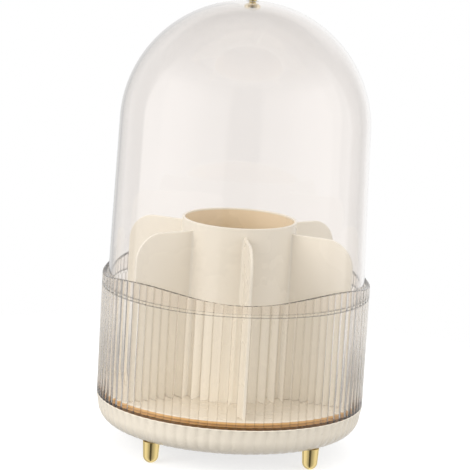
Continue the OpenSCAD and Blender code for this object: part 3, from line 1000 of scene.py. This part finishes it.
# Painted shade: a dark brown ring on the bowl's rim where the barrel wall stands on it.
shade_gap(cream_bowl, BROWN_SHADE, (barrel_in_r, base_r - BEVEL), (base_top - RIM_SHADE_H, FAR))
print("cream tones on bowl, tray and divider")

# %% [markdown]
# ### Clear plastic
#
# Clear plastic refracts with an index of 1.5 and has a faint warm tint. Light from a lamp
# can't find its way through a refracting wall in a path tracer, so for those rays the wall
# is simply transparent, and the things inside are lit as they are in a real clear box.

# %% Clear plastic
DOME_TINT = (0.983, 0.958, 0.939)
BARREL_TINT = (0.990, 0.960, 0.925)
TINT_SPREAD = 0.003
LAMP_TINT = (0.995, 0.99, 0.985, 1)
FOOT_SHADE = (0.30, 0.28, 0.28)
FOOT_SHADE_H = 1.7 * MM
PAINTED_GROOVE_SHADE = (0.72, 0.66, 0.60)
GROOVE_HALF_WIDTH = 0.11


def clear(name, tint):
    """Clear plastic that refracts what is seen and lets lamp light straight through."""
    second = [part - TINT_SPREAD for part in tint]
    material, shader = principled(
        name, (tint, second), roughness=(0.0, 0.012), waves=(9, 1.0), grain=(400, 0.002),
        bump=0.00002,
    )
    shader.inputs["IOR"].default_value = PLASTIC_IOR
    shader.inputs["Transmission Weight"].default_value = 1
    tree = material.node_tree
    see_through = tree.nodes.new("ShaderNodeBsdfTransparent")
    see_through.inputs["Color"].default_value = LAMP_TINT
    rays = tree.nodes.new("ShaderNodeLightPath")
    lamp_rays = math_node(
        tree, "MAXIMUM", rays.outputs["Is Shadow Ray"], rays.outputs["Is Diffuse Ray"]
    )
    split = tree.nodes.new("ShaderNodeMixShader")
    tree.links.new(lamp_rays, split.inputs["Fac"])
    tree.links.new(shader.outputs[0], split.inputs[1])
    tree.links.new(see_through.outputs[0], split.inputs[2])
    tree.links.new(split.outputs[0], tree.nodes["Material Output"].inputs["Surface"])
    return material


clear_plastic = clear("clear_plastic", DOME_TINT)
clear_reeded = clear("clear_reeded", BARREL_TINT)
# Painted shade: a darker line along each groove of the barrel's reeds.
tone_by_mask(clear_reeded, PAINTED_GROOVE_SHADE, GROOVE_SHADE_MASK, {
    "Reeds": BARREL_REEDS, "Half Width": GROOVE_HALF_WIDTH,
})
# Painted shade: the barrel's lowest 1.7 mm is darkened where it stands on the bowl.
shade_gap(clear_reeded, FOOT_SHADE, (0, FAR), (0, base_top + FOOT_SHADE_H))
print("clear plastics:", [m.name for m in (clear_plastic, clear_reeded)])

# %% [markdown]
# ### Metals and white plastic
#
# Metals show their colour in the reflection, so gold is a warm metal with a low roughness.
# Steel and white plastic are for the small fittings: screws, washers, bush, cage and balls.
# The fittings and the turntable keep their CAD shape.

# %% Metals and white plastic
gold_metal, gold_shader = principled(
    "gold_metal", ((1.0, 0.77, 0.33), (1.0, 0.79, 0.36)), roughness=(0.10, 0.14),
    waves=(60, 1.0), grain=(2500, 0.05), bump=0.00001,
)
gold_shader.inputs["Metallic"].default_value = 1
steel, steel_shader = principled(
    "steel", ((0.60, 0.61, 0.63), (0.66, 0.67, 0.69)), roughness=(0.2, 0.35),
    waves=(80, 0.5), grain=(3000, 0.1), bump=0.00003,
)
steel_shader.inputs["Metallic"].default_value = 1
white_plastic, _ = principled(
    "white_plastic", ((0.84, 0.84, 0.82), (0.87, 0.87, 0.85)), roughness=(0.4, 0.5),
    waves=(40, 0.5), grain=(1200, 0.2), bump=0.00005,
)

# %% Give each piece its material
OWN_PIECES = {
    "cream_plastic": (cream_plastic, [divider]),
    "cream_bowl": (cream_bowl, [base]),
    "clear_plastic": (clear_plastic, [dome]),
    "clear_reeded": (clear_reeded, [barrel]),
    "gold_metal": (gold_metal, feet + [knob]),
}
KEPT_NODES = {
    "turntable": cream_tray, "pivot_bush": white_plastic, "pivot_washer": steel,
    "pivot_screw": steel, "ball_cage": white_plastic, "bearing_balls": steel,
    "foot_screws": steel, "knob_screw": steel, "knob_washer": white_plastic,
}
for material, own in OWN_PIECES.values():
    for piece in own:
        piece.data.materials.clear()
        piece.data.materials.append(material)
for node_name, material in KEPT_NODES.items():
    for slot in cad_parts[node_name].material_slots:
        slot.material = material
print("materials on", sum(len(own) for _, own in OWN_PIECES.values()), "pieces of this file")

# %% [markdown]
# ## Studio
#
# A clear object shows its surroundings and little else, so the surroundings are designed.
# Straight through the plastic, from front or back, the eye meets a white wall. A reflected
# ray, or one that is bent far aside, meets the room instead: pale panels left and right, dim
# towards the camera, and a dim ceiling. The level of the room is a ramp by compass angle, and
# its steps draw the long upright lines on the dome. The light that fills plain surfaces is
# stronger from above than from below, and soft lamps give the shading.

# %% World levels
LEFT_PANEL = ((-111, 0.30), (-108, 0.82), (-85, 0.90), (-60, 0.80), (-40, 0.52), (-21, 0.40))
CAMERA_SIDE_DARK = ((-18, 0.05), (9, 0.12))
RIGHT_PANEL = ((12, 0.33), (40, 0.52), (83, 0.93), (86, 0.75), (109, 0.94))
WALL_BEHIND = ((113, 0.50), (130, 0.55), (146, 0.97), (180, 0.95))
WALL_BEHIND_LEFT = ((-180, 0.85), (-157, 0.60), (-130, 0.62))
ROOM_LEVELS = WALL_BEHIND_LEFT + LEFT_PANEL + CAMERA_SIDE_DARK + RIGHT_PANEL + WALL_BEHIND
PANEL_TOP_DEG = (24, 52)
CEILING = 0.15
BACKDROP_TOP_DEG = (-8.2, -5.2)
BACKDROP_DROP = 0.05
BACKDROP_EDGE_DEG = (134, 142)
FRONT_EDGE_DEG = (58, 66)
FILL_BELOW = 0.4
FILL_ABOVE = 0.9
FILL_TURN = (-0.5, 0.4)


# %% World
def level_between(tree, angle, range_deg, levels):
    """A level that changes smoothly from the first to the second between two angles."""
    return smooth_ramp(tree, angle, [math.radians(end) for end in range_deg], levels)


def choose(tree, switch, when_one, when_zero):
    """One of two levels, by a switch that is 0 or 1."""
    on = math_node(tree, "MULTIPLY", when_one, switch)
    off = math_node(tree, "MULTIPLY", when_zero, math_node(tree, "SUBTRACT", 1.0, switch))
    return math_node(tree, "ADD", on, off)


def compass_angle(tree, axes):
    """Angle of a direction about Z: 0 towards the camera, growing to the right."""
    front = math_node(tree, "MULTIPLY", axes.outputs["Y"], -1.0)
    return math_node(tree, "ARCTAN2", axes.outputs["X"], front)


def room_level(tree, axes, compass):
    """What reflections see: panels and walls by compass angle, fading to a dim ceiling."""
    turn = math_node(tree, "ADD", math_node(tree, "DIVIDE", compass, 2 * math.pi), 0.5)
    walls = tree.nodes.new("ShaderNodeValToRGB")
    stops = walls.color_ramp.elements
    while len(stops) < len(ROOM_LEVELS):
        stops.new(0.5)
    for stop, (azimuth, _) in zip(stops, ROOM_LEVELS):
        stop.position = azimuth / 360 + 0.5
    for stop, (_, level) in zip(stops, ROOM_LEVELS):
        stop.color = (level, level, level, 1)
    tree.links.new(turn, walls.inputs["Fac"])
    lift = math_node(tree, "ARCSINE", axes.outputs["Z"])
    wall_share = level_between(tree, lift, PANEL_TOP_DEG, (1, 0))
    ceiling_share = level_between(tree, lift, PANEL_TOP_DEG, (0, CEILING))
    return math_node(
        tree, "ADD", math_node(tree, "MULTIPLY", walls.outputs["Color"], wall_share),
        ceiling_share,
    )


def build_world():
    """World: white behind, panels in reflections, a soft fill for the plain surfaces."""
    world = bpy.data.worlds.new("studio")
    bpy.context.scene.world = world
    world.use_nodes = True
    tree = world.node_tree
    tree.nodes.clear()
    place = tree.nodes.new("ShaderNodeTexCoord").outputs["Generated"]
    axes = tree.nodes.new("ShaderNodeSeparateXYZ")
    tree.links.new(place, axes.inputs[0])
    rays = tree.nodes.new("ShaderNodeLightPath")
    reflected = math_node(tree, "GREATER_THAN", rays.outputs["Glossy Depth"], 0.5)
    lift = math_node(tree, "ARCSINE", axes.outputs["Z"])
    backdrop = level_between(tree, lift, BACKDROP_TOP_DEG, (1, 1 - BACKDROP_DROP))
    behind = math_node(tree, "MAXIMUM", backdrop, rays.outputs["Is Camera Ray"])
    compass = compass_angle(tree, axes)
    room = room_level(tree, axes, compass)
    off_front = math_node(tree, "ABSOLUTE", compass)
    at_sides = math_node(
        tree, "MULTIPLY", level_between(tree, off_front, BACKDROP_EDGE_DEG, (1, 0)),
        level_between(tree, off_front, FRONT_EDGE_DEG, (0, 1)),
    )
    not_camera = math_node(tree, "SUBTRACT", 1.0, rays.outputs["Is Camera Ray"])
    beside = math_node(tree, "MULTIPLY", at_sides, not_camera)
    to_room = math_node(tree, "MAXIMUM", reflected, beside)
    seen = choose(tree, to_room, room, behind)
    fill = smooth_ramp(tree, axes.outputs["Z"], FILL_TURN, (FILL_BELOW, FILL_ABOVE))
    light = tree.nodes.new("ShaderNodeBackground")
    light.inputs["Color"].default_value = (1, 1, 1, 1)
    level = choose(tree, rays.outputs["Is Diffuse Ray"], fill, seen)
    tree.links.new(level, light.inputs["Strength"])
    output = tree.nodes.new("ShaderNodeOutputWorld")
    tree.links.new(light.outputs[0], output.inputs["Surface"])


build_world()
print("studio wall levels:", len(ROOM_LEVELS))

# %% [markdown]
# ## Lamps
#
# Three soft square lamps give the cream pieces their form: a key from the left, a weaker one
# from the right and a faint one from above. Mirrors and clear walls don't show them, because
# the world already holds everything that reflections see.

# %% Lamps
LAMPS = {
    "key": ((-1.2, -0.8, 0.7), 0.9, 11.0),
    "side": ((1.2, -0.7, 0.5), 0.9, 4.0),
    "top": ((0.0, 0.2, 1.6), 1.0, 1.5),
}


def add_lamp(name, place, size, power):
    """A soft square lamp aimed at the object, seen by plain surfaces only."""
    lamp = bpy.data.objects.new(name, bpy.data.lights.new(name, "AREA"))
    lamp.data.shape = "SQUARE"
    lamp.data.size = size
    lamp.data.energy = power
    lamp.location = place
    aim = Vector((0, 0, 0.1)) - Vector(place)
    lamp.rotation_euler = aim.to_track_quat("-Z", "Y").to_euler()
    lamp.visible_camera = False
    lamp.visible_glossy = False
    lamp.visible_transmission = False
    bpy.context.scene.collection.objects.link(lamp)


for lamp_name, (place, size, power) in LAMPS.items():
    add_lamp(lamp_name, place, size, power)
print("lamps:", len(LAMPS))

# %% [markdown]
# ## Floor
#
# The floor is a grey disc that turns transparent towards its edge, so no horizon shows. It
# glows for camera rays only, which lifts it but leaves a soft shadow under the feet.

# %% Floor
FLOOR_R = 0.42
FLOOR_FADE = 0.16
FLOOR_TONE = 0.45
FLOOR_LIFT = 0.72


def add_floor():
    """A round floor that glows for the camera and fades out towards its edge."""
    floor_bm = bmesh.new()
    bmesh.ops.create_circle(floor_bm, cap_ends=True, segments=96, radius=FLOOR_R)
    floor = skin_object("floor", floor_bm)
    if floor.data.polygons[0].normal.z < 0:
        floor.data.flip_normals()
    material = bpy.data.materials.new("floor")
    material.use_nodes = True
    tree = material.node_tree
    shader = tree.nodes["Principled BSDF"]
    shader.inputs["Base Color"].default_value = (FLOOR_TONE, FLOOR_TONE, FLOOR_TONE, 1)
    shader.inputs["Roughness"].default_value = 0.9
    shader.inputs["Specular IOR Level"].default_value = 0
    place = tree.nodes.new("ShaderNodeTexCoord").outputs["Object"]
    reach = tree.nodes.new("ShaderNodeVectorMath")
    reach.operation = "LENGTH"
    tree.links.new(place, reach.inputs[0])
    fade = smooth_ramp(tree, reach.outputs["Value"], (FLOOR_R, FLOOR_R - FLOOR_FADE))
    tree.links.new(fade, shader.inputs["Alpha"])
    paths = tree.nodes.new("ShaderNodeLightPath")
    lift = math_node(tree, "MULTIPLY", paths.outputs["Is Camera Ray"], FLOOR_LIFT)
    tree.links.new(lift, shader.inputs["Emission Strength"])
    shader.inputs["Emission Color"].default_value = (1, 1, 1, 1)
    floor.data.materials.append(material)
    floor.visible_glossy = False


add_floor()

# %% [markdown]
# ## Light paths
#
# A ray in a reeded wall bounces inside it many times, and would end black with fewer steps.

# %% Light paths
GLOSSY_BOUNCES = 12
CLEAR_BOUNCES = 24

paths_allowed = bpy.context.scene.cycles
paths_allowed.glossy_bounces = GLOSSY_BOUNCES
paths_allowed.transmission_bounces = CLEAR_BOUNCES
paths_allowed.transparent_max_bounces = CLEAR_BOUNCES
paths_allowed.max_bounces = CLEAR_BOUNCES
print("bounces in clear walls:", CLEAR_BOUNCES)

# %% View settings
bpy.context.scene.view_settings.view_transform = "Standard"
